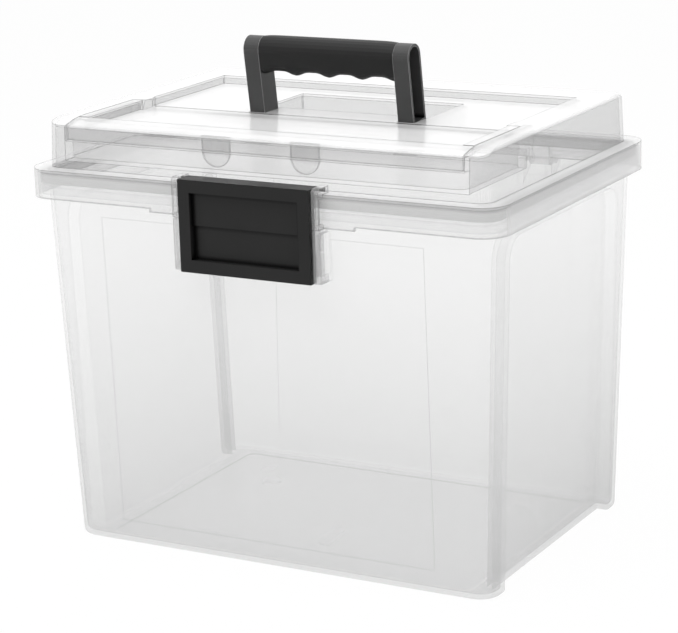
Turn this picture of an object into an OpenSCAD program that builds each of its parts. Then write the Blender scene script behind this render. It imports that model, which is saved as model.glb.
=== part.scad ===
// Portable file box: a clear tub for hanging folders, a hinged lid with an
// organizer tray under a hinged cover, a fold-down handle and a front latch.
// The latch faces -Y, the lid's hinges +Y, the end walls -X and +X, and z is up.

/* [Overall] */
// Width over the lid's rim, the widest part
rim_w = 350; // [310:1:420]
// Depth over the lid's rim
rim_d = 244; // [210:1:300]
// Height of the lid's rim above the ground
rim_z = 261.5; // [220:0.5:320]
// Corner radius of the lid's rim in plan
rim_r = 18; // [12:1:24]

/* [Tub] */
// Thickness of the moulded walls of tub and lid
wall = 2.2; // [1.8:0.1:2.6]
// Thickness of the tub's floor
floor_t = 3; // [2.4:0.2:4]
// How far the rim stands out past the tub's wall
overhang = 8; // [7:0.5:10]
// How much narrower each side of the tub is at the ground
taper = 7.2; // [4:0.2:10]
// Corner radius of the tub in plan
tub_r = 14; // [10:1:18]
// Radius of the edge round the tub's base
base_edge_r = 3; // [2:0.5:4]
// How far the end walls are set in between the corner posts
recess_in = 9.5; // [6:0.5:11]
// Width of each corner post along the end wall
post_w = 20; // [16:1:26]
// Gap from the skirt's lower edge down to the top of the end recess
recess_drop = 7; // [5:0.5:12]
// Radius of the recess's upper corners
recess_r = 15; // [8:1:20]
// Height of the folder rail above its ledge
rail_h = 10; // [6:1:12]
// Thickness of the folder rail
rail_t = 2.4; // [1.8:0.2:3]
// How far the rail stands back from the edge of its ledge
rail_set = 0.8; // [0.5:0.1:2]
// How far each end of the rail stops short of the ledge's round corner
rail_end = 3; // [2:0.5:10]
// Thickness of the lip that hangs from the tub's rim
rim_lip_t = 1.8; // [1.4:0.1:2.2]
// Height of that lip's lower edge above the skirt's
rim_lip_up = 2.5; // [2:0.5:4]
// Distance from the tub's corner to the sunk panel in its long walls
panel_edge = 40; // [30:1:60]
// Depth of the sunk panel in the long walls
panel_in = 0.6; // [0.4:0.1:0.8]
// Depth of the hollow under the base, inside its standing edge
base_hollow = 1; // [0.6:0.2:1.2]
// Width of the standing edge round the base
base_edge = 12; // [8:1:20]
// Corner radius of the hollow under the base
base_r = 6; // [4:1:10]
// Height of the sunk panel's lower edge
panel_low = 16; // [10:1:30]
// Gap from the end recess's height down to the sunk panel's upper edge
panel_drop = 4; // [2:1:12]

/* [Lid rim and gasket] */
// Height of the lid's skirt
skirt_h = 19.5; // [16:0.5:24]
// Extra depth of the skirt beside the latch
apron_h = 2.4; // [1:0.2:4]
// Half length of the deeper skirt beside the latch
apron_x = 76; // [66:1:90]
// Clearance between the tub's rim and the lid's skirt
rim_gap = 0.4; // [0.3:0.1:0.6]
// Width of the gasket
gasket_w = 5; // [4:0.5:6]
// Height of the closed gasket
gasket_h = 8; // [3:0.5:9]
// Gap between the gasket and the tub's rim
gasket_gap = 0.2; // [0.1:0.1:0.3]
// Distance of the gasket from the tub's edge
gasket_inset = 1.4; // [1:0.1:2]
// Thickness of the rib inside the gasket
rib_t = 1.4; // [1.2:0.1:1.8]
// Gap between the gasket and its rib
rib_gap = 0.3; // [0.2:0.1:0.5]
// How far the rib's edge stays above the gasket's face
rib_up = 0.6; // [0.4:0.1:1]

/* [Lid block] */
// Height of the raised block above the rim
block_h = 32.5; // [30:0.5:38]
// Distance from the rim's edge to the foot of the block
block_in = 11; // [10:0.5:14]
// Draft of the block's sides over its height
block_draft = 1.3; // [0.6:0.1:2]
// Corner radius of the block in plan
block_r = 10; // [8:1:14]
// Radius of the block's top edge
block_edge_r = 3; // [2:0.5:4]
// Drop of the top towards the front edge
crown_h = 4; // [2:0.5:5]
// Length over which the top drops
crown_d = 24; // [18:1:30]
// Depth of the sunk field in the top
field_h = 6; // [5:0.5:7]
// Border from the block's foot to the sunk field at each side
field_side = 25; // [22:1:34]
// Border from the block's foot to the sunk field in front
field_border = 16.5; // [15:0.5:22]
// Border from the block's foot to the sunk field behind
field_back = 31; // [22:1:34]

/* [Organizer tray and cover] */
// Distance from the block's foot to the tray's side wall
tray_side = 16.6; // [15:0.2:20]
// Depth from the sunk field down to the tray's floor
tray_h = 19.5; // [17:0.5:20]
// Rear edge of the tray
tray_rear = -26; // [-30:1:-24]
// Corner radius inside the tray
tray_r = 8; // [4:1:12]
// Drop from the lid's top to the tray's front wall, which the cover's lip meets
lip_cut = 14; // [12:0.5:16]
// Thickness of the cover
cover_t = 2; // [1.6:0.1:2.2]
// Gap round the cover
cover_gap = 0.8; // [0.5:0.1:1]
// Place of the cover's hinge along the depth
hinge_y = -18.5; // [-20:0.5:-18]
// Radius of the cover's hinge barrel
barrel_r = 3; // [2.6:0.1:3.2]
// Radius of the cover's hinge pins
cover_pin_r = 1.6; // [1.2:0.1:1.8]
// Length of the cover's hinge pins
cover_pin_l = 4; // [3:0.5:5]
// Gap between the hinge barrel and the deck behind it
barrel_gap = 0.5; // [0.4:0.1:0.8]
// Gap between the hinge barrel and the trough under it
trough_gap = 1; // [0.6:0.1:1.4]
// Half length of a hinge block along the top
hinge_block_l = 8.5; // [7:0.5:9]
// How far a hinge block stands into the sunk field
hinge_block_in = 1.6; // [1:0.1:2]
// Gap between the cover's hinge barrel and a hinge block
hinge_gap = 0.6; // [0.4:0.1:0.8]
// Outer radius of the bend above the cover's lip
bend_r = 2.5; // [2.4:0.1:3.5]
// Gap between the half-round press tabs and the tray's floor
tab_floor_gap = 1; // [0.8:0.1:2]
// Distance of each press tab from the middle
tab_x = 33; // [25:1:40]
// Thickness of the press tabs
tab_t = 1.6; // [1.2:0.1:2]
// Gap between the press tabs and the tray's front wall
tab_gap = 2; // [1.8:0.1:2.4]

/* [Handle] */
// Width over the handle's arms
handle_w = 125; // [110:1:135]
// Height of the handle's top above its pivot, along its own length
handle_l = 61.6; // [58:0.2:62]
// Width of an arm seen from the front
arm_w = 11.5; // [10:0.5:13]
// Width of an arm seen from the side
arm_d = 18; // [16:0.5:18]
// Thickness of the arm's rim and web
arm_t = 1.8; // [1.4:0.2:2.4]
// How far the standing handle leans forward, in degrees
lean = 8; // [4:1:10]
// Place of the handle's pivot along the depth
pivot_y = -1.5; // [-2:0.5:0]
// Radius of the handle's pivot pins
pivot_r = 3; // [2.4:0.1:3.4]
// Length of the handle's pivot pins
pivot_l = 4.2; // [3.6:0.2:4.4]
// Running gap beside and under the handle
handle_gap = 0.7; // [0.5:0.1:0.9]
// Height of the grip without its finger lobes
grip_h = 22.5; // [20:0.5:24]
// How far the grip stands out round the arms
grip_out = 0.7; // [0.4:0.1:1]
// Distance between two finger hollows
finger_pitch = 25; // [22:0.5:25]
// Depth of the finger hollows
finger_h = 2.6; // [1.6:0.2:3]
// Radius of the grip's lower edges
grip_r = 6; // [4:0.5:8]
// Cover of the grip over the bar, above and below
grip_over = 4.5; // [4:0.5:5]
// Cover of the grip over the bar, in front and behind
grip_side = 3.5; // [3:0.5:4]
// Corner radius of the bar
bar_r = 3; // [2:0.5:4]
// Gap between the grip and the bar or the arms
grip_fit = 0.15; // [0.1:0.05:0.3]
// Spare length of the well past the folded handle
well_spare = 0.5; // [0.3:0.1:2]
// Wall of the bosses round the handle's pins
boss_t = 2.4; // [1.8:0.2:3]

/* [Latch] */
// Width of the latch
latch_w = 96.6; // [80:0.2:104]
// Height of the latch
latch_h = 61.2; // [56:0.2:64]
// Distance from the skirt to the latch's front face
latch_out = 8; // [7.6:0.2:9]
// Distance from the skirt to the latch's back
latch_back = 0.7; // [0.5:0.1:0.9]
// Gap between the lid's rim and the latch's top plate
hook_gap = 1.6; // [1.4:0.1:2]
// Thickness of the latch's top plate
hook_t = 2.3; // [2:0.1:2.6]
// How far the top plate is set in from the latch's sides
hook_in = 1.1; // [0.8:0.1:2]
// Width of the frame round the latch's window
frame_w = 8.5; // [7:0.5:10]
// Depth of the upper half of the window
window_d = 3.6; // [2.5:0.1:4]
// Extra depth of the lower half of the window
window_step = 1.4; // [0.8:0.1:1.6]
// Thickness of the latch's shell
latch_t = 1.8; // [1.6:0.1:2.2]
// Distance from the skirt's face back to the latch's pivot
latch_pivot_in = 5.2; // [4.8:0.1:5.6]
// Radius of the knuckle at the rear edge of the top plate
latch_knuckle = 1.8; // [1.7:0.05:1.9]
// Radius of the latch's pivot pins
latch_pin_r = 1.3; // [1.1:0.1:1.4]
// Length of the latch's pivot pins past its sides
latch_pin_l = 4.2; // [3.6:0.2:4.6]
// Height of the latch's solid foot
latch_foot = 13; // [11:0.5:15]
// How far the lip on the foot reaches in under the tub's catch
catch_in = 1.7; // [1.4:0.1:1.9]
// Height of the lip's sloping face, which follows the latch's path
catch_slope = 5; // [4.6:0.1:5.4]
// Height of the lip below its sloping face
catch_foot = 3.2; // [2:0.2:4]
// Gap between the latch and the tub's catch
catch_gap = 0.4; // [0.3:0.1:0.5]
// Height of the tub's catch
catch_h = 16; // [12:0.5:20]
// How far the lip stops short of the latch's sides
lip_side = 3; // [2:0.5:8]

/* [Ears] */
// Gap between the latch and its ears
ear_gap = 0.8; // [0.5:0.1:1]
// Thickness of the ears beside the latch
ear_t = 5; // [4:0.2:6]
// Distance from the skirt to the ears' front edge
ear_out = 6; // [5.6:0.2:7]
// Height of the lid's ears above the latch's top
ear_up = 0.6; // [0.4:0.1:1]
// Gap between the lid's ears and the tub's ears
ear_split = 0.7; // [0.5:0.1:1]
// Corner radius of the ears
ear_r = 2; // [1:0.5:4]
// Wall of the lid's ears behind the latch's pins
ear_wall = 1.2; // [1:0.1:2]
// Thickness left beside the latch where the ears are hollowed
ear_web = 2; // [1.6:0.1:2.4]
// Width of the edge left in front of that hollow
ear_rim = 1.6; // [1.2:0.1:2]
// Height of the edge left below and above that hollow
ear_edge = 5; // [3:0.5:8]

/* [Lid hinges] */
// Distance of each hinge from the middle
rear_x = 92; // [60:1:120]
// Radius of the hinge's knuckle and lugs
rear_r = 4; // [3.6:0.1:4]
// Length of the lid's knuckle
rear_l = 15; // [10:0.5:24]
// Thickness of the tub's lugs
rear_lug = 4.8; // [4.4:0.2:7]
// Gap between the knuckle and the lugs
rear_gap = 0.6; // [0.4:0.1:0.8]
// Radius of the hinge pins
rear_pin_r = 2; // [1.6:0.1:2.2]
// Length of the hinge pins past the knuckle
rear_pin_l = 4; // [3:0.2:4.2]
// Height of the lugs' foot on the tub's wall below the hinge's axis
rear_foot = 16; // [10:1:24]
// Height of the knuckle's arm on the skirt
rear_arm = 12; // [8:0.5:16]
// Thickness of the arm at its top
rear_arm_t = 1; // [0.6:0.1:2]

/* [Fits] */
// Spare length of a blind bore past its pin
bore_spare = 0.3; // [0.2:0.1:0.8]
// Running clearance between a pin and its bore, on the radius
pin_gap = 0.05; // [0.03:0.01:0.1]

/* [Hidden] */
$fn = 64;
clear_plastic = [0.93, 0.95, 0.96, 0.45];
black_plastic = [0.16, 0.16, 0.17];
grip_rubber = [0.1, 0.1, 0.11];
foam = [0.62, 0.64, 0.65];
past = 5;
sink = 0.5;

// Heights of the rim, the skirt and the tub
skirt_z = rim_z - skirt_h;
apron_z = skirt_z - apron_h;
gasket_z = rim_z - wall - gasket_h;
gasket_in = wall + rim_gap + gasket_inset;
tub_z = gasket_z - gasket_gap;
recess_z = skirt_z - recess_drop;
wall_draft = atan(taper/skirt_z);
rim_lip_z = skirt_z + rim_lip_up;

// Places of the lid's block, its sunk field, tray and well
top_z = rim_z + block_h;
field_z = top_z - field_h;
tray_z = field_z - tray_h;
lip_z = top_z - lip_cut;
tab_r = lip_z - tray_z - tab_floor_gap;
block_x = rim_w/2 - block_in;
block_y = rim_d/2 - block_in;
front_y = -(block_y - block_draft*(lip_z - rim_z)/block_h);
field_x = block_x - field_side;
field_front = field_border - block_y;
field_rear = block_y - field_back;
tray_x = block_x - tray_side;
hinge_z = field_z - barrel_r;
deck_y = hinge_y + barrel_r + barrel_gap;
trough_z = hinge_z - barrel_r - trough_gap;
clear_r = sqrt(pow(field_h + barrel_r, 2) + pow(hinge_block_l, 2));
hinge_block_x = field_x - hinge_block_in;

// Places of the handle
pivot_z = field_z - arm_d/2;
well_x = handle_w/2 + handle_gap;
well_z = pivot_z - arm_d/2 - grip_out - handle_gap;
well_rear = pivot_y + handle_l + grip_out + handle_gap + well_spare;
slot_front = pivot_y - arm_d/2/cos(lean) - arm_d/2*tan(lean) - handle_gap;
slot_x = handle_w/2 - arm_w - handle_gap;
well_front = pivot_y + arm_d/2 + 1;
boss_r = pivot_r + boss_t;
pin_reach = handle_gap + pivot_l;

// Places of the latch, its ears and the tub's catch
skirt_y = -rim_d/2;
hook_z = rim_z + hook_gap;
latch_top = hook_z + hook_t;
latch_low = latch_top - latch_h;
latch_py = skirt_y + latch_pivot_in;
latch_pz = latch_top - latch_knuckle;
latch_fy = skirt_y - latch_out;
latch_by = skirt_y - latch_back;
lip_low_z = latch_low + catch_foot;
lip_high_z = lip_low_z + catch_slope;
catch_y = latch_by + catch_gap;
catch_top = lip_low_z + catch_h;
ear_x = latch_w/2 + ear_gap;
ear_top = latch_top + ear_up;
ear_front = skirt_y - ear_out;

// Places of the lid's hinges
rear_y = rim_d/2 + latch_out - rear_r;
rear_z = apron_z;
lug_top = skirt_z - ear_split;

// A rectangle with round corners, centred
module rounded(w, d, r) {
    square([w - 2*r, d], center = true);
    square([w, d - 2*r], center = true);
    for (x = [-1, 1], y = [-1, 1])
        translate([x*(w/2 - r), y*(d/2 - r)]) circle(r = r);
}

// An upright slab with round corners between two heights
module slab(w, d, r, z0, z1) {
    translate([0, 0, z0]) linear_extrude(z1 - z0) rounded(w, d, r);
}

// An upright ring with round corners, t wide, inside the given outline
module ring(w, d, r, t, z0, z1) {
    translate([0, 0, z0]) linear_extrude(z1 - z0) difference() {
        rounded(w, d, r);
        rounded(w - 2*t, d - 2*t, r - t);
    }
}

// A block from one corner to the other
module block(low, high) {
    translate(low) cube(high - low);
}

// An outline in y and z, extruded along x from x0 to x1
module along_x(x0, x1, outline) {
    translate([x0, 0, 0]) rotate([90, 0, 90]) linear_extrude(x1 - x0) polygon(outline);
}

// A pin or bore along x
module rod(x0, x1, y, z, r) {
    translate([x0, y, z]) rotate([0, 90, 0]) cylinder(r = r, h = x1 - x0);
}

// Points of an arc
function arc(x, y, r, a0, a1, n) =
    [for (i = [0:n]) let (a = a0 + (a1 - a0)*i/n) [x + r*cos(a), y + r*sin(a)]];

// A solid through a stack of rings, each a list of points at one height
module loft(rings) {
    n = len(rings[0]);
    top = (len(rings) - 1)*n;
    points = [for (r = rings) for (p = r) p];
    sides = [for (k = [0:len(rings) - 2]) for (j = [0:n - 1])
        let (a = k*n + j, b = k*n + (j + 1) % n)
        each [[a, a + n, b + n], [a, b + n, b]]];
    low_face = [for (j = [0:n - 1]) j];
    high_face = [for (j = [n - 1:-1:0]) top + j];
    polyhedron(points = points, faces = concat([low_face], sides, [high_face]));
}

// A rounded rectangle as points at height z, from its half sizes
function round_ring(a, b, r, z, n = 8) =
    [for (p = concat(arc(a - r, b - r, r, 0, 90, n), arc(r - a, b - r, r, 90, 180, n),
        arc(r - a, r - b, r, 180, 270, n), arc(a - r, r - b, r, 270, 360, n)))
        [p[0], p[1], z]];

// Half sizes of the tub's outer face at a height
function tub_x(z) = rim_w/2 - overhang - taper*(1 - z/skirt_z);
function tub_y(z) = rim_d/2 - overhang - taper*(1 - z/skirt_z);

// One ring of the tub, t in from its outer face
function tub_level(z, t) = round_ring(tub_x(z) - t, tub_y(z) - t, tub_r - t, z);

// The tub's outer block, or its cavity when t is the wall
module tub_block(t, low, high) {
    r = base_edge_r - t/2;
    edge = [for (a = [0:22.5:67.5])
        let (in = r*(1 - sin(a))) round_ring(tub_x(low) - t - in, tub_y(low) - t - in,
            tub_r - t - in/2, low + r*(1 - cos(a)))];
    loft(concat(edge, [tub_level(low + r, t), tub_level(high, t)]));
}

// The recess between the corner posts of each end wall, t larger all round
module end_recesses(t) {
    c = tub_y(0) - post_w + t;
    top = recess_z + t;
    r = recess_r + t;
    for (s = [0, 1]) mirror([s, 0, 0]) translate([tub_x(0), 0, 0]) rotate([0, wall_draft, 0])
        along_x(-recess_in - t, past, concat([[c, -past - t]], arc(c - r, top - r, r, 0, 90, 16),
            arc(r - c, top - r, r, 90, 180, 16), [[-c, -past - t]]));
}

// The sunk panel in a long wall, cut parallel to the drafted wall
module sunk_panel() {
    w = 2*(tub_x(0) - panel_edge);
    translate([0, -tub_y(0), 0]) rotate([wall_draft, 0, 0])
        block([-w/2, -past, panel_low], [w/2, panel_in, recess_z - panel_drop]);
}

// The hollow in the outer side of an ear, between two heights
module ear_hollow(back, low, high) {
    block([ear_x + ear_web, ear_front + ear_rim, low], [ear_x + ear_t + past, back, high]);
}

// The tub's two ears beside the latch
module tub_ears() {
    top = apron_z - ear_split;
    wall_y = -tub_y(latch_low);
    back = wall_y + wall/2;
    for (s = [0, 1]) mirror([s, 0, 0]) difference() {
        along_x(ear_x, ear_x + ear_t, concat([[back, latch_low]],
            arc(ear_front + ear_r, latch_low + ear_r, ear_r, 270, 180, 4),
            [[ear_front, top], [back, top]]));
        ear_hollow(wall_y - ear_rim, latch_low + ear_edge, top - ear_edge/2);
    }
}

// The catch between the tub's ears that holds the latch's foot
module tub_catch() {
    x = ear_x + sink;
    back = wall/2 - tub_y(catch_top);
    along_x(-x, x, [[catch_y, catch_top], [catch_y, lip_high_z], [catch_y + catch_in, lip_low_z],
        [catch_y + catch_in + wall, lip_low_z], [catch_y + wall, lip_high_z],
        [catch_y + wall, catch_top - wall], [back, catch_top - wall], [back, catch_top]]);
}

// The tub's hinge lugs under the skirt, with blind bores for the lid's pins
module tub_lugs() {
    back = tub_y(rear_z - rear_foot) - wall/2;
    reach = rear_l/2 + rear_pin_l + bore_spare;
    outline = concat([[back, rear_z - rear_foot], [back, lug_top]],
        arc(rear_y, rear_z, rear_r, 180 - asin((lug_top - rear_z)/rear_r), -45, 16));
    for (s = [0, 1]) mirror([s, 0, 0]) difference() {
        for (x = [rear_x - rear_l/2 - rear_gap - rear_lug, rear_x + rear_l/2 + rear_gap])
            along_x(x, x + rear_lug, outline);
        rod(rear_x - reach, rear_x + reach, rear_y, rear_z, rear_pin_r + pin_gap);
    }
}

// The rails inside the end walls that folder hooks hang on
module folder_rails() {
    z = recess_z + wall;
    x = tub_x(z) - wall - recess_in + rail_set;
    y = tub_y(0) - post_w - recess_r - rail_end;
    for (s = [0, 1]) mirror([s, 0, 0])
        block([x, -y, z - wall + sink], [x + rail_t, y, z + rail_h]);
}

// The clear tub with its rim, ears, catch, hinge lugs and folder rails
module box_body() {
    w = rim_w - 2*wall - 2*rim_gap;
    d = rim_d - 2*wall - 2*rim_gap;
    r = rim_r - wall - rim_gap;
    color(clear_plastic) {
        difference() {
            union() {
                difference() {
                    tub_block(0, 0, tub_z);
                    end_recesses(0);
                    for (s = [0, 1]) mirror([0, s, 0]) sunk_panel();
                }
                slab(w, d, r, tub_z - wall, tub_z);
                ring(w, d, r, rim_lip_t, rim_lip_z, tub_z - wall/2);
                tub_ears();
                tub_catch();
                tub_lugs();
            }
            difference() {
                tub_block(wall, floor_t, tub_z + past);
                end_recesses(wall);
            }
            slab(2*(tub_x(0) - recess_in - base_edge), 2*(tub_y(0) - base_edge), base_r,
                -past, base_hollow);
        }
        folder_rails();
    }
}

// The foam gasket in the lid's groove
module lid_gasket() {
    color(foam) ring(rim_w - 2*gasket_in, rim_d - 2*gasket_in, rim_r - gasket_in, gasket_w,
        gasket_z, rim_z - wall);
}

// Height of the crowned top at a place along the depth
function crown_z(y) =
    let (start = -block_y + crown_d)
    y > start ? top_z : top_z - crown_h*pow((start - y)/crown_d, 2);

// Points of the crowned top, lowered by t, from one place back to another
function crown(y0, y1, t, n = 8) =
    [for (i = [0:n]) let (y = y0 + (y1 - y0)*i/n) [y, crown_z(y) - t]];

// The lid's raised block, or its hollow when t is the wall
module block_solid(t, low) {
    r = max(block_edge_r - t, 0.8);
    span = top_z - rim_z;
    foot = round_ring(block_x - t, block_y - t, block_r - t, low);
    edge = [for (a = [0:22.5:90])
        let (z = top_z - t - r + r*sin(a), in = block_draft*(z - rim_z)/span + r*(1 - cos(a)))
        round_ring(block_x - t - in, block_y - t - in, block_r - t - in/2, z)];
    loft(concat([foot], edge));
}

// The space above the crowned front of the lid
module crown_cut() {
    y0 = -block_y - past;
    start = -block_y + crown_d;
    along_x(-rim_w/2, rim_w/2, concat(crown(y0, start, 0), [[start, top_z + past], [y0, top_z + past]]));
}

// The lid's two ears that carry the latch, with blind bores for its pins
module lid_ears() {
    back = latch_py + latch_pin_r + pin_gap + ear_wall;
    for (s = [0, 1]) mirror([s, 0, 0]) difference() {
        along_x(ear_x, ear_x + ear_t, [[skirt_y + wall/2, apron_z], [ear_front, apron_z],
            [ear_front, ear_top - ear_r], [ear_front + ear_r, ear_top], [back, ear_top],
            [back, rim_z - wall/2], [skirt_y + wall/2, rim_z - wall/2]]);
        ear_hollow(skirt_y, apron_z + ear_edge/2, rim_z - ear_edge/2);
        rod(ear_x - past, ear_x + latch_pin_l - ear_gap + bore_spare, latch_py, latch_pz,
            latch_pin_r + pin_gap);
    }
}

// The lid's hinge knuckles on the skirt behind, with the pins on their ends
module lid_knuckles() {
    x0 = rear_x - rear_l/2;
    x1 = rear_x + rear_l/2;
    outline = concat([[rim_d/2 - wall/2, skirt_z + sink], [rim_d/2 - wall/2, skirt_z + rear_arm],
        [rim_d/2 + rear_arm_t, skirt_z + rear_arm]], arc(rear_y, rear_z, rear_r, 30, -200, 18));
    for (s = [0, 1]) mirror([s, 0, 0]) {
        along_x(x0, x1, outline);
        rod(x0 - rear_pin_l, x1 + rear_pin_l, rear_y, rear_z, rear_pin_r);
    }
}

// The lid's rim: flange, skirt with its deeper apron, gasket rib, ears and hinges
module lid_rim() {
    rib_in = gasket_in + gasket_w + rib_gap;
    ring(rim_w, rim_d, rim_r, block_in + wall, rim_z - wall, rim_z);
    ring(rim_w, rim_d, rim_r, wall, skirt_z, rim_z);
    ring(rim_w - 2*rib_in, rim_d - 2*rib_in, rim_r - rib_in, rib_t, gasket_z + rib_up, rim_z - wall/2);
    block([-apron_x, skirt_y, apron_z], [apron_x, skirt_y + wall, skirt_z + sink]);
    lid_ears();
    lid_knuckles();
}

// The pieces of the organizer tray, the sunk field and the handle well, still solid
module lid_cores() {
    t = wall;
    high = top_z - t/2;
    block([-tray_x - t, front_y + t/2, tray_z - t], [tray_x + t, tray_rear + t, high]);
    block([-tray_x - t, tray_rear, trough_z - t], [tray_x + t, deck_y + t, high]);
    block([-field_x - t, deck_y, field_z - t], [field_x + t, field_rear + t, high]);
    block([-well_x - t, slot_front - t, well_z - t], [well_x + t, well_rear + t, field_z]);
    for (s = [0, 1]) mirror([s, 0, 0])
        rod(well_x, well_x + pin_reach, pivot_y, pivot_z, boss_r);
}

// What is cut out of the lid: tray, cover opening, sunk field and handle well
module lid_pockets() {
    tray_front = front_y + wall;
    tray_d = tray_rear - tray_front;
    translate([0, tray_front + tray_d/2, 0]) slab(2*tray_x, tray_d, tray_r, tray_z, top_z + past);
    block([-tray_x, -rim_d/2, lip_z], [tray_x, tray_rear, top_z + past]);
    block([-tray_x, tray_rear - tray_r, trough_z], [tray_x, deck_y, top_z + past]);
    block([-field_x, deck_y - sink, field_z], [field_x, field_rear, top_z + past]);
    block([-well_x, well_front, well_z], [well_x, well_rear, top_z]);
    for (s = [0, 1]) mirror([s, 0, 0])
        block([slot_x, slot_front, well_z], [well_x, well_front + sink, top_z]);
    block([wall - slot_x, slot_front - wall, rim_z], [slot_x - wall, well_front - wall, field_z - wall]);
}

// The fixed blocks beside the cover's hinge, round in front so the cover clears them
module hinge_blocks() {
    x0 = hinge_block_x;
    x1 = tray_x + sink;
    for (s = [0, 1]) mirror([s, 0, 0]) difference() {
        intersection() {
            rod(x0, x1, hinge_y, hinge_z, clear_r);
            block([x0, hinge_y - clear_r, trough_z - wall], [x1, deck_y + sink, top_z]);
        }
        rod(x0 - past, x0 + cover_pin_l + bore_spare, hinge_y, hinge_z, cover_pin_r + pin_gap);
    }
}

// The clear lid: rim, raised block, tray, sunk field and handle well
module lid() {
    color(clear_plastic) {
        lid_rim();
        difference() {
            union() {
                difference() {
                    block_solid(0, rim_z - wall/2);
                    difference() {
                        block_solid(wall, rim_z - wall);
                        translate([0, 0, -wall]) crown_cut();
                    }
                }
                lid_cores();
            }
            lid_pockets();
            crown_cut();
            for (s = [0, 1]) mirror([s, 0, 0])
                rod(well_x - wall, well_x + pin_reach + sink, pivot_y, pivot_z, pivot_r + pin_gap);
        }
        hinge_blocks();
    }
}

// The half-round press tabs that hang from the cover behind the tray's front wall
module press_tabs() {
    y = front_y + wall + tab_gap;
    z = lip_z;
    for (s = [-1, 1]) intersection() {
        union() {
            rotate([90, 0, 0]) translate([s*tab_x, z, -y - tab_t]) cylinder(r = tab_r, h = tab_t);
            block([s*tab_x - tab_r, y, z], [s*tab_x + tab_r, y + tab_t, crown_z(y) - cover_t/2]);
        }
        block([s*tab_x - tab_r, y, z - tab_r], [s*tab_x + tab_r, y + tab_t, top_z]);
    }
}

// The hinged cover of the organizer tray
module organizer_cover() {
    x = tray_x - cover_gap;
    lip_y0 = front_y;
    lip_y1 = lip_y0 + cover_t;
    lip_low = lip_z + cover_gap;
    plate_x = hinge_block_x - hinge_gap;
    top = crown(lip_y0 + bend_r, field_front, 0);
    under = crown(lip_y1 + bend_r, field_front, cover_t);
    n = len(under) - 1;
    color(clear_plastic) {
        difference() {
            union() {
                along_x(-x, x, concat([[lip_y1, lip_low], [lip_y0, lip_low]],
                    arc(lip_y0 + bend_r, top[0][1] - bend_r, bend_r, 180, 90, 4), top,
                    [for (i = [n:-1:0]) under[i]], [[lip_y1, under[0][1] - cover_t/2]]));
                block([-x, field_front, top_z - cover_t], [x, hinge_y, top_z]);
                block([-field_x - cover_t, field_front - cover_t, field_z - cover_t],
                    [field_x + cover_t, hinge_y, top_z - cover_t/2]);
            }
            block([-field_x, field_front, field_z], [field_x, 0, top_z + past]);
            for (s = [0, 1]) mirror([s, 0, 0])
                rod(plate_x, x + past, hinge_y, hinge_z, clear_r + barrel_gap);
        }
        rod(-plate_x, plate_x, hinge_y, hinge_z, barrel_r);
        for (s = [0, 1]) mirror([s, 0, 0])
            rod(plate_x - sink, hinge_block_x + cover_pin_l, hinge_y, hinge_z, cover_pin_r);
        press_tabs();
    }
}

// The side outline of an arm, drawn in from its outer edge by t
function arm_side(t, low) =
    concat(arc(0, handle_l - arm_d/2, arm_d/2 - t, 0, 180, 16), arc(0, low, arm_d/2 - t, 180, 360, 16));

// Places a handle piece: its own origin is the pivot, and it leans forward
module at_pivot() {
    translate([0, pivot_y, pivot_z]) rotate([lean, 0, 0]) children();
}

// Section of the bar inside the grip, g larger all round
module bar_section(g) {
    translate([handle_l - grip_h/2, 0])
        rounded(grip_h - 2*grip_over + 2*g, arm_d - 2*grip_side + 2*g, bar_r);
}

// The handle's moulded frame: two channel arms, a bar and the pivot pins
module handle_frame() {
    x1 = handle_w/2;
    x0 = x1 - arm_w;
    color(black_plastic) at_pivot() {
        for (s = [0, 1]) mirror([s, 0, 0]) {
            difference() {
                along_x(x0, x1, arm_side(0, 0));
                along_x(x0 + arm_t, x1 + past, concat(
                    arc(0, handle_l - arm_d/2, arm_d/2 - arm_t, 0, 180, 16),
                    [[arm_t - arm_d/2, arm_d/2], [arm_d/2 - arm_t, arm_d/2]]));
            }
            rod(x1 - arm_t/2, x1 + pin_reach - bore_spare, 0, 0, pivot_r);
        }
        rotate([0, -90, 0]) translate([0, 0, -x0 - sink]) linear_extrude(2*(x0 + sink)) bar_section(0);
    }
}

// Depth of the finger hollow at a place across the grip: narrow round lobes, wide hollows
function hollow(x) = finger_h*(1 - pow(cos(180*x/finger_pitch), 4));

// One section of the grip in y and z at a place across it
function grip_ring(x, out) =
    let (r = arm_d/2 + out, top = handle_l + out - r, k = grip_r,
        low = handle_l - grip_h - finger_h + hollow(x))
    [for (p = concat(arc(0, top, r, 0, 180, 12), arc(-r + k, low + k, k, 180, 270, 5),
        arc(r - k, low + k, k, 270, 360, 5))) [p[0], p[1], x]];

// The finger grip moulded round the handle's bar
module handle_grip() {
    x0 = handle_w/2 - arm_w - grip_fit;
    steps = 48;
    color(grip_rubber) at_pivot() difference() {
        rotate([90, 0, 90]) loft([for (i = [0:steps]) let (x = -x0 + 2*x0*i/steps)
            grip_ring(x, grip_out*(1 - pow(abs(x)/x0, 12)))]);
        rotate([0, -90, 0]) translate([0, 0, -x0 - past]) linear_extrude(2*(x0 + past))
            bar_section(grip_fit);
    }
}

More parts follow.
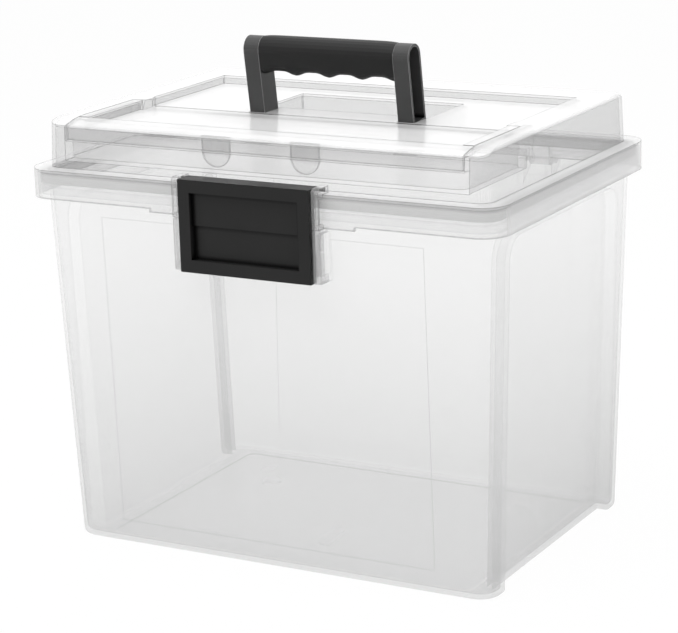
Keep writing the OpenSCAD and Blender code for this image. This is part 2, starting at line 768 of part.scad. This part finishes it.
// The latch: framed plate, stepped window, foot lip, top plate, knuckle and pins
module front_latch() {
    x = latch_w/2;
    wx = x - frame_w;
    wz0 = latch_low + frame_w;
    wz1 = latch_top - frame_w;
    mid = (wz0 + wz1)/2;
    t = latch_t;
    floor_y = latch_fy + window_d;
    under = asin((latch_pz - hook_z)/latch_knuckle) - 180;
    color(black_plastic) {
        difference() {
            block([-x, latch_fy, latch_low], [x, latch_by, latch_top]);
            block([-wx, latch_fy - past, mid], [wx, floor_y, wz1]);
            block([-wx, latch_fy - past, wz0], [wx, floor_y + window_step, mid]);
            difference() {
                block([t - x, latch_fy + t, latch_low + latch_foot],
                    [x - t, latch_by + past, latch_top - t - hook_t]);
                block([-wx - t, latch_fy, wz0 - t], [wx + t, latch_by + 2*past, wz1 + t]);
            }
        }
        along_x(hook_in - x, x - hook_in, concat([[latch_fy + t, hook_z], [latch_fy + t, latch_top]],
            arc(latch_py, latch_pz, latch_knuckle, 90, under, 16)));
        along_x(lip_side - x, x - lip_side, [[latch_by - sink, latch_low], [latch_by + catch_in, latch_low],
            [latch_by + catch_in, lip_low_z], [latch_by, lip_high_z], [latch_by - sink, lip_high_z]]);
        for (s = [0, 1]) mirror([s, 0, 0])
            rod(x - hook_in - sink, x + latch_pin_l, latch_py, latch_pz, latch_pin_r);
    }
}

box_body();
lid();
lid_gasket();
organizer_cover();
handle_frame();
handle_grip();
front_latch();
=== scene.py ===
"""Portable file box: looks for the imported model, in metres, z up, latch towards -y."""
import math

import bpy
import numpy as np
from mathutils import Matrix, Vector


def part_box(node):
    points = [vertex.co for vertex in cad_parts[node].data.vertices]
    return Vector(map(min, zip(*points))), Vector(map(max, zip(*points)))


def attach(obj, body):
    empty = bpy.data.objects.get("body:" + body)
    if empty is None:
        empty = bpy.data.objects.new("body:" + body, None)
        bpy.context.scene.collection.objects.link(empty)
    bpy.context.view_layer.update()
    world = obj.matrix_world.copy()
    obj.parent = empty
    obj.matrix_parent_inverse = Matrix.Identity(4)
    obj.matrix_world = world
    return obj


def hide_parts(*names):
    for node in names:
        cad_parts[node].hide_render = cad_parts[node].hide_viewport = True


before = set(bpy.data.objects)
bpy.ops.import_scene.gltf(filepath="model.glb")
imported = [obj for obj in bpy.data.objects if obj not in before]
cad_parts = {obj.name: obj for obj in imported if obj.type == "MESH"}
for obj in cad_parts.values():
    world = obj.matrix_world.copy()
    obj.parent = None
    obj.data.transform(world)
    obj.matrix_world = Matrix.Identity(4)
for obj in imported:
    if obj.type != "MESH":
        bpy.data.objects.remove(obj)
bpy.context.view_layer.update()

# The camera, fitted to the photograph's edges
CAMERA_AZIMUTH = 29.20
CAMERA_ELEVATION = 15.06
CAMERA_ROLL = -1.77
CAMERA_DISTANCE = 1.7078
CAMERA_TARGET = Vector((-0.00486, 0.0, 0.14603))
CAMERA_LENS = 131.39
SENSOR_WIDTH = 36

# The lamps: (azimuth, elevation, distance, size, watts), and where they look
KEY_LAMP = (-20, 68, 1.7, 1.4, 20.0)
FILL_LAMP = (85, 25, 1.8, 1.4, 3.5)
BACK_LAMP = (200, 60, 1.7, 1.2, 8.0)
LAMP_AIM = Vector((0, 0, 0.15))

# The sky and the floor, which reaches FLOOR_HALF each way and lies FLOOR_DROP under the box
WHITE = (1, 1, 1, 1)
SKY_LEVEL = 0.50
FLOOR_COLOUR = (0.95, 0.95, 0.95, 1)
FLOOR_WHITE_SHARE = 0.97
FLOOR_HALF = 6.0
FLOOR_DROP = 0.0004

# Enough bounces for light to pass the many clear walls
CLEAR_BOUNCES = 48
MOST_BOUNCES = 16

# Heights, as (bottom, top), over which the tone changes: painted shade fading up from the tub's
# bottom, a lighter painted shade on the lid's skirt below, plain grey on the cover's tabs below,
# and painted shade on the foam above
TUB_SHADE_HEIGHTS = (0.0, 0.24)
SKIRT_SHADE_HEIGHTS = (0.2595, 0.2625)
TAB_HEIGHTS = (0.2765, 0.2785)
FOAM_SHADE_HEIGHTS = (0.2565, 0.2588)

# The solid ears beside the latch stand in front of this y and below this z
TUB_EARS = (-0.1166, 0.2412)
LID_EARS = (-0.1224, 0.3)

# Clear plastic: texture depth, roughness drift, and how fast its haze grows towards edge on
CLEAR_IOR = 1.49
CLEAR_DEPTH = 0.00002
CLEAR_DRIFT = 0.04
HAZE_POWER = 3.0

# Black plastic: roughness drift, and the grey of the painted shade in its inner corners
BLACK_IOR = 1.5
BLACK_DRIFT = 0.05
BLACK_CORNER_SHADE = 0.001

# Foam: its greys, with painted shade at the top and its own grey below, roughness and texture
# depth
FOAM_SHADE_AND_GREY = (0.24, 0.74)
FOAM_ROUGHNESS = 0.85
FOAM_DEPTH = 0.0002

# The part of the noise's range that most of its waves fill
CLOUD_RANGE = (0.3, 0.7)

# The gasket: section width, outer corner radius, superellipse power, and steps in its mesh
GASKET_WIDTH = 0.005
GASKET_CORNER = 0.014
GASKET_POWER = 6
CORNER_STEPS = 24
SECTION_STEPS = 32


# ---- Places ----

def direction(azimuth, elevation):
    """Unit vector towards a place: azimuth 0 is in front of the latch, 90 to the right."""
    a, e = math.radians(azimuth), math.radians(elevation)
    return Vector((math.sin(a) * math.cos(e), -math.cos(a) * math.cos(e), math.sin(e)))


def link(obj):
    """The object, put into the scene."""
    bpy.context.scene.collection.objects.link(obj)
    return obj


# ---- Node helpers, where a value is a number or a socket ----

def wire(tree, source, target):
    """Joins one socket to another."""
    tree.links.new(source, target)


def feed(tree, value, target):
    """Gives the target socket a value."""
    if isinstance(value, (int, float)):
        target.default_value = value
    else:
        wire(tree, value, target)


def node(tree, kind, **settings):
    """A new node; a setting with a capital letter is an input socket, the rest are properties."""
    made = tree.nodes.new(kind)
    for name, value in settings.items():
        if name[0].isupper():
            made.inputs[name.replace("_", " ")].default_value = value
        else:
            setattr(made, name, value)
    return made


def calculated(tree, operation, *values, use_clamp=False):
    """The result of a math operation on one or two values."""
    made = node(tree, "ShaderNodeMath", operation=operation, use_clamp=use_clamp)
    for value, target in zip(values, made.inputs):
        feed(tree, value, target)
    return made.outputs[0]


def map_range(tree, source, low, high, out_low, out_high):
    """The source value, carried from low..high to out_low..out_high and clamped to them."""
    made = node(tree, "ShaderNodeMapRange", To_Min=out_low, To_Max=out_high)
    wire(tree, source, made.inputs["Value"])
    feed(tree, low, made.inputs["From Min"])
    feed(tree, high, made.inputs["From Max"])
    return made.outputs["Result"]


def mixed(tree, factor, first, second):
    """A value between first and second by the factor socket."""
    made = node(tree, "ShaderNodeMix", data_type="FLOAT")
    wire(tree, factor, made.inputs["Factor"])
    feed(tree, first, made.inputs["A"])
    feed(tree, second, made.inputs["B"])
    return made.outputs["Result"]


# ---- Node groups, which several materials share ----

def new_group(name, inputs, outputs):
    """An empty shader node group with float inputs and outputs, and its two end nodes."""
    group = bpy.data.node_groups.new(name, "ShaderNodeTree")
    for title, value in inputs.items():
        socket = group.interface.new_socket(title, in_out="INPUT", socket_type="NodeSocketFloat")
        socket.default_value = value
    for title in outputs:
        group.interface.new_socket(title, in_out="OUTPUT", socket_type="NodeSocketFloat")
    return group, group.nodes.new("NodeGroupInput"), group.nodes.new("NodeGroupOutput")


def coordinate_parts(group, kind):
    """The X, Y and Z sockets of the texture coordinate of this kind."""
    place = node(group, "ShaderNodeTexCoord")
    split = node(group, "ShaderNodeSeparateXYZ")
    wire(group, place.outputs[kind], split.inputs[0])
    return split.outputs


def moulded_surface_group():
    """Slow waves left by moulding (Cloud, 0 to 1) and the fine texture of the mould (Height)."""
    group, start, end = new_group(
        "moulded_surface", {"Cloud Scale": 9.0, "Grain Scale": 900.0}, ("Cloud", "Height"))
    place = node(group, "ShaderNodeTexCoord")
    cloud = node(group, "ShaderNodeTexNoise", Detail=2.0, Roughness=0.5)
    grain = node(group, "ShaderNodeTexNoise", Detail=1.0, Roughness=0.6)
    for noise, scale, title in ((cloud, "Cloud Scale", "Cloud"), (grain, "Grain Scale", "Height")):
        wire(group, place.outputs["Object"], noise.inputs["Vector"])
        wire(group, start.outputs[scale], noise.inputs["Scale"])
        wire(group, noise.outputs["Fac"], end.inputs[title])
    return group


def moulded_edges_group():
    """Line: 1 along a moulding's edges and 0 on its faces.

    It grows as the normal rounded over Width metres leans away from the flat one.
    """
    group, start, end = new_group("moulded_edges", {"Width": 0.0008, "Sharpness": 0.06}, ("Line",))
    rounded = node(group, "ShaderNodeBevel", samples=4)
    wire(group, start.outputs["Width"], rounded.inputs["Radius"])
    flat = node(group, "ShaderNodeNewGeometry")
    lean = node(group, "ShaderNodeVectorMath", operation="DOT_PRODUCT")
    wire(group, rounded.outputs["Normal"], lean.inputs[0])
    wire(group, flat.outputs["Normal"], lean.inputs[1])
    size = calculated(group, "ABSOLUTE", lean.outputs["Value"])
    off = calculated(group, "SUBTRACT", 1.0, size)
    line = calculated(group, "DIVIDE", off, start.outputs["Sharpness"], use_clamp=True)
    wire(group, line, end.inputs["Line"])
    return group


def height_group():
    """Low: 1 at and below the height Bottom, falling to 0 at the height Top, in metres."""
    group, start, end = new_group("height_fall", {"Bottom": 0.0, "Top": 0.1}, ("Low",))
    height = coordinate_parts(group, "Object")["Z"]
    fall = map_range(group, height, start.outputs["Bottom"], start.outputs["Top"], 1.0, 0.0)
    wire(group, fall, end.inputs["Low"])
    return group


def standing_faces_group():
    """Upright: 1 on a moulding's standing faces and 0 on its level ones, by its own normals."""
    group, start, end = new_group("standing_faces", {"Steep": 0.25, "Flat": 0.75}, ("Upright",))
    lean = calculated(group, "ABSOLUTE", coordinate_parts(group, "Normal")["Z"])
    fall = map_range(group, lean, start.outputs["Steep"], start.outputs["Flat"], 1.0, 0.0)
    wire(group, fall, end.inputs["Upright"])
    return group


def solid_ears_group():
    """Thick: 1 in the solid ears beside the latch, in front of Front and below Top, in metres."""
    group, start, end = new_group("solid_ears", {"Front": -0.12, "Top": 0.3}, ("Thick",))
    place = coordinate_parts(group, "Object")
    ahead = calculated(group, "LESS_THAN", place["Y"], start.outputs["Front"])
    below = calculated(group, "LESS_THAN", place["Z"], start.outputs["Top"])
    wire(group, calculated(group, "MULTIPLY", ahead, below), end.inputs["Thick"])
    return group


def corner_shade_group():
    """Open: 1 on open faces, down to 0 deep in the inner corners of a moulding, where shade is
    painted.
    """
    group, start, end = new_group("corner_shade", {"Reach": 0.003, "Strength": 8.0}, ("Open",))
    near = node(group, "ShaderNodeAmbientOcclusion", samples=6, only_local=True)
    wire(group, start.outputs["Reach"], near.inputs["Distance"])
    openness = calculated(group, "POWER", near.outputs["AO"], start.outputs["Strength"])
    wire(group, openness, end.inputs["Open"])
    return group


MOULDED = moulded_surface_group()
EDGES = moulded_edges_group()
HEIGHT = height_group()
CORNERS = corner_shade_group()
UPRIGHTS = standing_faces_group()
EARS = solid_ears_group()


def placed(tree, group, **values):
    """A node group put into a material, with its own input values."""
    made = tree.nodes.new("ShaderNodeGroup")
    made.node_tree = group
    for name, value in values.items():
        made.inputs[name.replace("_", " ")].default_value = value
    return made


# ---- Materials ----

def new_material(name):
    """An empty material with its output and a Principled shader joined to it."""
    mat = bpy.data.materials.new(name)
    mat.use_nodes = True
    tree = mat.node_tree
    tree.nodes.clear()
    out = tree.nodes.new("ShaderNodeOutputMaterial")
    shader = tree.nodes.new("ShaderNodeBsdfPrincipled")
    wire(tree, shader.outputs["BSDF"], out.inputs["Surface"])
    return mat, tree, shader


def bump(tree, shader, height, depth):
    """Raises the shader's normal by the height socket, depth metres deep."""
    made = node(tree, "ShaderNodeBump", Strength=0.6, Distance=depth)
    wire(tree, height, made.inputs["Height"])
    wire(tree, made.outputs["Normal"], shader.inputs["Normal"])


def drifting_roughness(tree, shader, cloud, roughness, drift):
    """Roughness that rises and falls by drift with the slow waves of the moulding."""
    waves = map_range(tree, cloud, *CLOUD_RANGE, roughness - drift, roughness + drift)
    wire(tree, waves, shader.inputs["Roughness"])


def clear_plastic(name, face, haze, low, standing, edge, roughness, ears=None):
    """Clear moulded plastic: a thin haze on its faces, a grey line painted along its edges, and
    painted shade and light.

    face: its grey. haze: the opacity of one surface seen straight on and seen edge on.
    low: (grey, added haze, (bottom, top)), what it turns to, down between the two heights:
    painted shade darker towards the tub's bottom, a lighter painted shade on the lid's skirt,
    and the plain face grey on the cover's tabs.
    standing: (grey, added haze, haze added to level faces), above that: painted shade on its
    standing faces, and painted light, a whiter haze, on its level ones.
    edge: (grey, opacity, width) of the line painted along its edges, for the dark surroundings
    refracted in their rounding. roughness: the middle of its drifting roughness.
    ears: (grey, added haze, (front, top)) of its solid ears, on pieces that have them.
    """
    mat, tree, shader = new_material(name)
    mould = placed(tree, MOULDED)
    line = placed(tree, EDGES, Width=edge[2]).outputs["Line"]
    fall = placed(tree, HEIGHT, Bottom=low[2][0], Top=low[2][1]).outputs["Low"]
    upright = placed(tree, UPRIGHTS).outputs["Upright"]
    # Painted shade on the standing faces and towards the bottom, and painted light, a whiter haze,
    # on the level faces
    grey = mixed(tree, fall, mixed(tree, upright, face, standing[0]), low[0])
    added = mixed(tree, fall, mixed(tree, upright, standing[2], standing[1]), low[1])
    if ears:
        thick = placed(tree, EARS, Front=ears[2][0], Top=ears[2][1]).outputs["Thick"]
        grey = mixed(tree, thick, grey, ears[0])
        added = mixed(tree, thick, added, ears[1])
    rim = node(tree, "ShaderNodeLayerWeight", Blend=0.45)
    steep = calculated(tree, "POWER", rim.outputs["Facing"], HAZE_POWER)
    veil = map_range(tree, steep, 0.0, 1.0, *haze)
    veil = calculated(tree, "ADD", veil, added, use_clamp=True)
    # A grey line painted along the edges, for the dark surroundings refracted in their rounding
    wire(tree, mixed(tree, line, veil, edge[1]), shader.inputs["Alpha"])
    wire(tree, mixed(tree, line, grey, edge[0]), shader.inputs["Base Color"])
    drifting_roughness(tree, shader, mould.outputs["Cloud"], roughness, CLEAR_DRIFT)
    shader.inputs["IOR"].default_value = CLEAR_IOR
    bump(tree, shader, mould.outputs["Height"], CLEAR_DEPTH)
    return mat


def black_plastic(name, greys, edge, roughness, gloss, grain, depth):
    """Black moulded plastic with a fine grain, painted shade in its inner corners and a painted
    edge line.

    greys: the two greys that its colour drifts between. edge: (grey, width) of the line painted
    along its edges, a painted highlight where lighter than the body, painted shade where darker.
    roughness: the middle of its drifting roughness. gloss: the strength of its sheen.
    grain and depth: the scale and the depth in metres of its texture.
    """
    mat, tree, shader = new_material(name)
    mould = placed(tree, MOULDED, Cloud_Scale=40.0, Grain_Scale=grain)
    openness = placed(tree, CORNERS).outputs["Open"]
    line = placed(tree, EDGES, Width=edge[1], Sharpness=0.10).outputs["Line"]
    # A line painted along the edges: a painted highlight on the handle, painted shade on the latch
    grey = mixed(tree, line, mixed(tree, mould.outputs["Cloud"], *greys), edge[0])
    # Painted shade: the colour falls to a near-black grey deep in the inner corners
    wire(tree, mixed(tree, openness, BLACK_CORNER_SHADE, grey), shader.inputs["Base Color"])
    drifting_roughness(tree, shader, mould.outputs["Cloud"], roughness, BLACK_DRIFT)
    shader.inputs["IOR"].default_value = BLACK_IOR
    shader.inputs["Specular IOR Level"].default_value = gloss
    bump(tree, shader, mould.outputs["Height"], depth)
    return mat


def foam(name):
    """Matt white closed-cell foam, with painted shade along its top, where it sits in the lid's
    groove.
    """
    mat, tree, shader = new_material(name)
    cells = placed(tree, MOULDED, Cloud_Scale=60.0, Grain_Scale=1800.0)
    fall = placed(tree, HEIGHT, Bottom=FOAM_SHADE_HEIGHTS[0], Top=FOAM_SHADE_HEIGHTS[1]).outputs["Low"]
    # Painted shade: darker grey along the foam's top
    wire(tree, mixed(tree, fall, *FOAM_SHADE_AND_GREY), shader.inputs["Base Color"])
    shader.inputs["Roughness"].default_value = FOAM_ROUGHNESS
    bump(tree, shader, cells.outputs["Height"], FOAM_DEPTH)
    return mat


# The clear parts' low and standing greys and hazes are painted shade and light, and every edge
# grey is a painted line
FINISHES = {
    "box_body": clear_plastic(
        "clear_tub", face=0.96, haze=(0.085, 0.62), low=(0.65, 0.13, TUB_SHADE_HEIGHTS),
        standing=(0.96, 0.0, 0.0), edge=(0.42, 0.17, 0.0014), roughness=0.24,
        ears=(0.48, 0.26, TUB_EARS)),
    "lid": clear_plastic(
        "clear_lid", face=0.97, haze=(0.08, 0.62), low=(0.80, 0.18, SKIRT_SHADE_HEIGHTS),
        standing=(0.56, 0.05, 0.10), edge=(0.16, 0.90, 0.0008), roughness=0.16,
        ears=(0.58, 0.13, LID_EARS)),
    "organizer_cover": clear_plastic(
        "clear_cover", face=0.97, haze=(0.12, 0.62), low=(0.97, 0.0, TAB_HEIGHTS),
        standing=(0.46, 0.13, 0.12), edge=(0.16, 0.90, 0.0008), roughness=0.14),
    "lid_gasket": foam("gasket_foam"),
    "handle_frame": black_plastic(
        "frame_black", greys=(0.052, 0.066), edge=(0.32, 0.0006), roughness=0.42, gloss=0.18,
        grain=2600.0, depth=0.00005),
    "handle_grip": black_plastic(
        "grip_black", greys=(0.017, 0.022), edge=(0.06, 0.0005), roughness=0.46, gloss=0.12,
        grain=2200.0, depth=0.00006),
    "front_latch": black_plastic(
        "latch_black", greys=(0.012, 0.017), edge=(0.001, 0.0007), roughness=0.36, gloss=0.20,
        grain=3000.0, depth=0.00004),
}

for name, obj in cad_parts.items():
    obj.data.materials.clear()
    obj.data.materials.append(FINISHES[name])


# ---- The foam gasket ----

def round_loop(half_w, half_d, radius, per_corner):
    """Points and outward directions round a rectangle with round corners, as two arrays."""
    turn = np.linspace(0, math.pi / 2, per_corner)
    angle = np.concatenate([turn + k * math.pi / 2 for k in range(4)])
    corner = np.repeat([[1, 1], [-1, 1], [-1, -1], [1, -1]], per_corner, axis=0)
    out = np.stack([np.cos(angle), np.sin(angle)], axis=1)
    centre = corner * [half_w - radius, half_d - radius]
    return centre + radius * out, out


def foam_ring(name):
    """The gasket: an oblong section with round edges, carried round the lid's groove.

    The section is a superellipse, |u/a|^n + |v/b|^n = 1 with n = GASKET_POWER. Its half width a
    is half of GASKET_WIDTH. Its half height b and its middle are those of the CAD gasket's box.
    """
    low, high = np.array(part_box("lid_gasket"))
    a, b = GASKET_WIDTH / 2, (high[2] - low[2]) / 2
    half = (high[:2] - low[:2]) / 2 - a
    middle = (high + low) / 2
    track, out = round_loop(half[0], half[1], GASKET_CORNER - a, CORNER_STEPS)
    t = np.linspace(0, 2 * math.pi, SECTION_STEPS, endpoint=False)
    u = a * np.sign(np.cos(t)) * np.abs(np.cos(t)) ** (2 / GASKET_POWER)
    v = b * np.sign(np.sin(t)) * np.abs(np.sin(t)) ** (2 / GASKET_POWER)
    points = np.empty((len(track), len(t), 3))
    points[:, :, :2] = middle[:2] + track[:, None, :] + u[None, :, None] * out[:, None, :]
    points[:, :, 2] = middle[2] + v[None, :]
    n, m = points.shape[:2]
    i, j = np.meshgrid(np.arange(n), np.arange(m), indexing="ij")
    ahead, up = (i + 1) % n, (j + 1) % m
    corners = [i * m + j, ahead * m + j, ahead * m + up, i * m + up]
    quads = np.stack(corners, axis=-1).reshape(-1, 4)
    mesh = bpy.data.meshes.new(name)
    mesh.from_pydata(points.reshape(-1, 3).tolist(), [], quads.tolist())
    mesh.polygons.foreach_set("use_smooth", np.ones(len(quads), bool))
    mesh.materials.append(FINISHES["lid_gasket"])
    return link(bpy.data.objects.new(name, mesh))


gasket = foam_ring("gasket_ring")
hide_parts("lid_gasket")
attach(gasket, "lid_assembly")


# ---- Studio ----

def camera():
    """The camera at the photograph's angle, turned by its roll about the line of sight."""
    back = direction(CAMERA_AZIMUTH, CAMERA_ELEVATION)
    right = direction(CAMERA_AZIMUTH + 90, 0)
    up = back.cross(right)
    roll = math.radians(CAMERA_ROLL)
    across = right * math.cos(roll) + up * math.sin(roll)
    upward = up * math.cos(roll) - right * math.sin(roll)
    data = bpy.data.cameras.new("camera")
    data.lens = CAMERA_LENS
    data.sensor_width = SENSOR_WIDTH
    obj = link(bpy.data.objects.new("camera", data))
    turn = Matrix((across, upward, back)).transposed().to_4x4()
    obj.matrix_world = Matrix.Translation(CAMERA_TARGET + back * CAMERA_DISTANCE) @ turn
    bpy.context.scene.camera = obj


def lamp(name, azimuth, elevation, distance, size, watts):
    """A square area lamp that looks at the middle of the box."""
    data = bpy.data.lights.new(name, "AREA")
    data.shape, data.size, data.energy = "SQUARE", size, watts
    obj = link(bpy.data.objects.new(name, data))
    towards = direction(azimuth, elevation)
    obj.location = LAMP_AIM + towards * distance
    obj.rotation_mode = "QUATERNION"
    obj.rotation_quaternion = towards.to_track_quat("Z", "Y")


def white_where_seen(tree, lit, white, share):
    """The lit shader, with this share of the white one for camera, glossy and glass rays."""
    rays = node(tree, "ShaderNodeLightPath").outputs
    bright = calculated(tree, "MAXIMUM", rays["Is Glossy Ray"], rays["Is Transmission Ray"])
    seen = calculated(tree, "MAXIMUM", rays["Is Camera Ray"], bright)
    mix = node(tree, "ShaderNodeMixShader")
    wire(tree, calculated(tree, "MULTIPLY", seen, share), mix.inputs[0])
    wire(tree, lit.outputs[0], mix.inputs[1])
    wire(tree, white.outputs[0], mix.inputs[2])
    return mix.outputs[0]


def white_sky():
    """An even sky, plain white where it is seen."""
    world = bpy.data.worlds.new("studio_sky")
    bpy.context.scene.world = world
    world.use_nodes = True
    tree = world.node_tree
    tree.nodes.clear()
    lit = node(tree, "ShaderNodeBackground", Color=WHITE, Strength=SKY_LEVEL)
    white = node(tree, "ShaderNodeBackground", Color=WHITE, Strength=1.0)
    out = node(tree, "ShaderNodeOutputWorld")
    wire(tree, white_where_seen(tree, lit, white, 1.0), out.inputs["Surface"])


def white_floor():
    """A pale floor under the box, nearly white where it is seen, so that the shadow stays."""
    h = FLOOR_HALF
    mesh = bpy.data.meshes.new("floor")
    mesh.from_pydata([(-h, -h, 0), (h, -h, 0), (h, h, 0), (-h, h, 0)], [], [(0, 1, 2, 3)])
    floor = link(bpy.data.objects.new("floor", mesh))
    floor.location.z = -FLOOR_DROP
    mat = bpy.data.materials.new("floor_white")
    mat.use_nodes = True
    tree = mat.node_tree
    tree.nodes.clear()
    lit = node(tree, "ShaderNodeBsdfDiffuse", Color=FLOOR_COLOUR)
    white = node(tree, "ShaderNodeEmission", Color=WHITE, Strength=1.0)
    out = node(tree, "ShaderNodeOutputMaterial")
    wire(tree, white_where_seen(tree, lit, white, FLOOR_WHITE_SHARE), out.inputs["Surface"])
    mesh.materials.append(mat)


camera()
for title, place in (("key_lamp", KEY_LAMP), ("fill_lamp", FILL_LAMP), ("back_lamp", BACK_LAMP)):
    lamp(title, *place)
white_sky()
white_floor()
scene = bpy.context.scene
scene.view_settings.view_transform = "Standard"
scene.cycles.transparent_max_bounces = CLEAR_BOUNCES
scene.cycles.max_bounces = MOST_BOUNCES
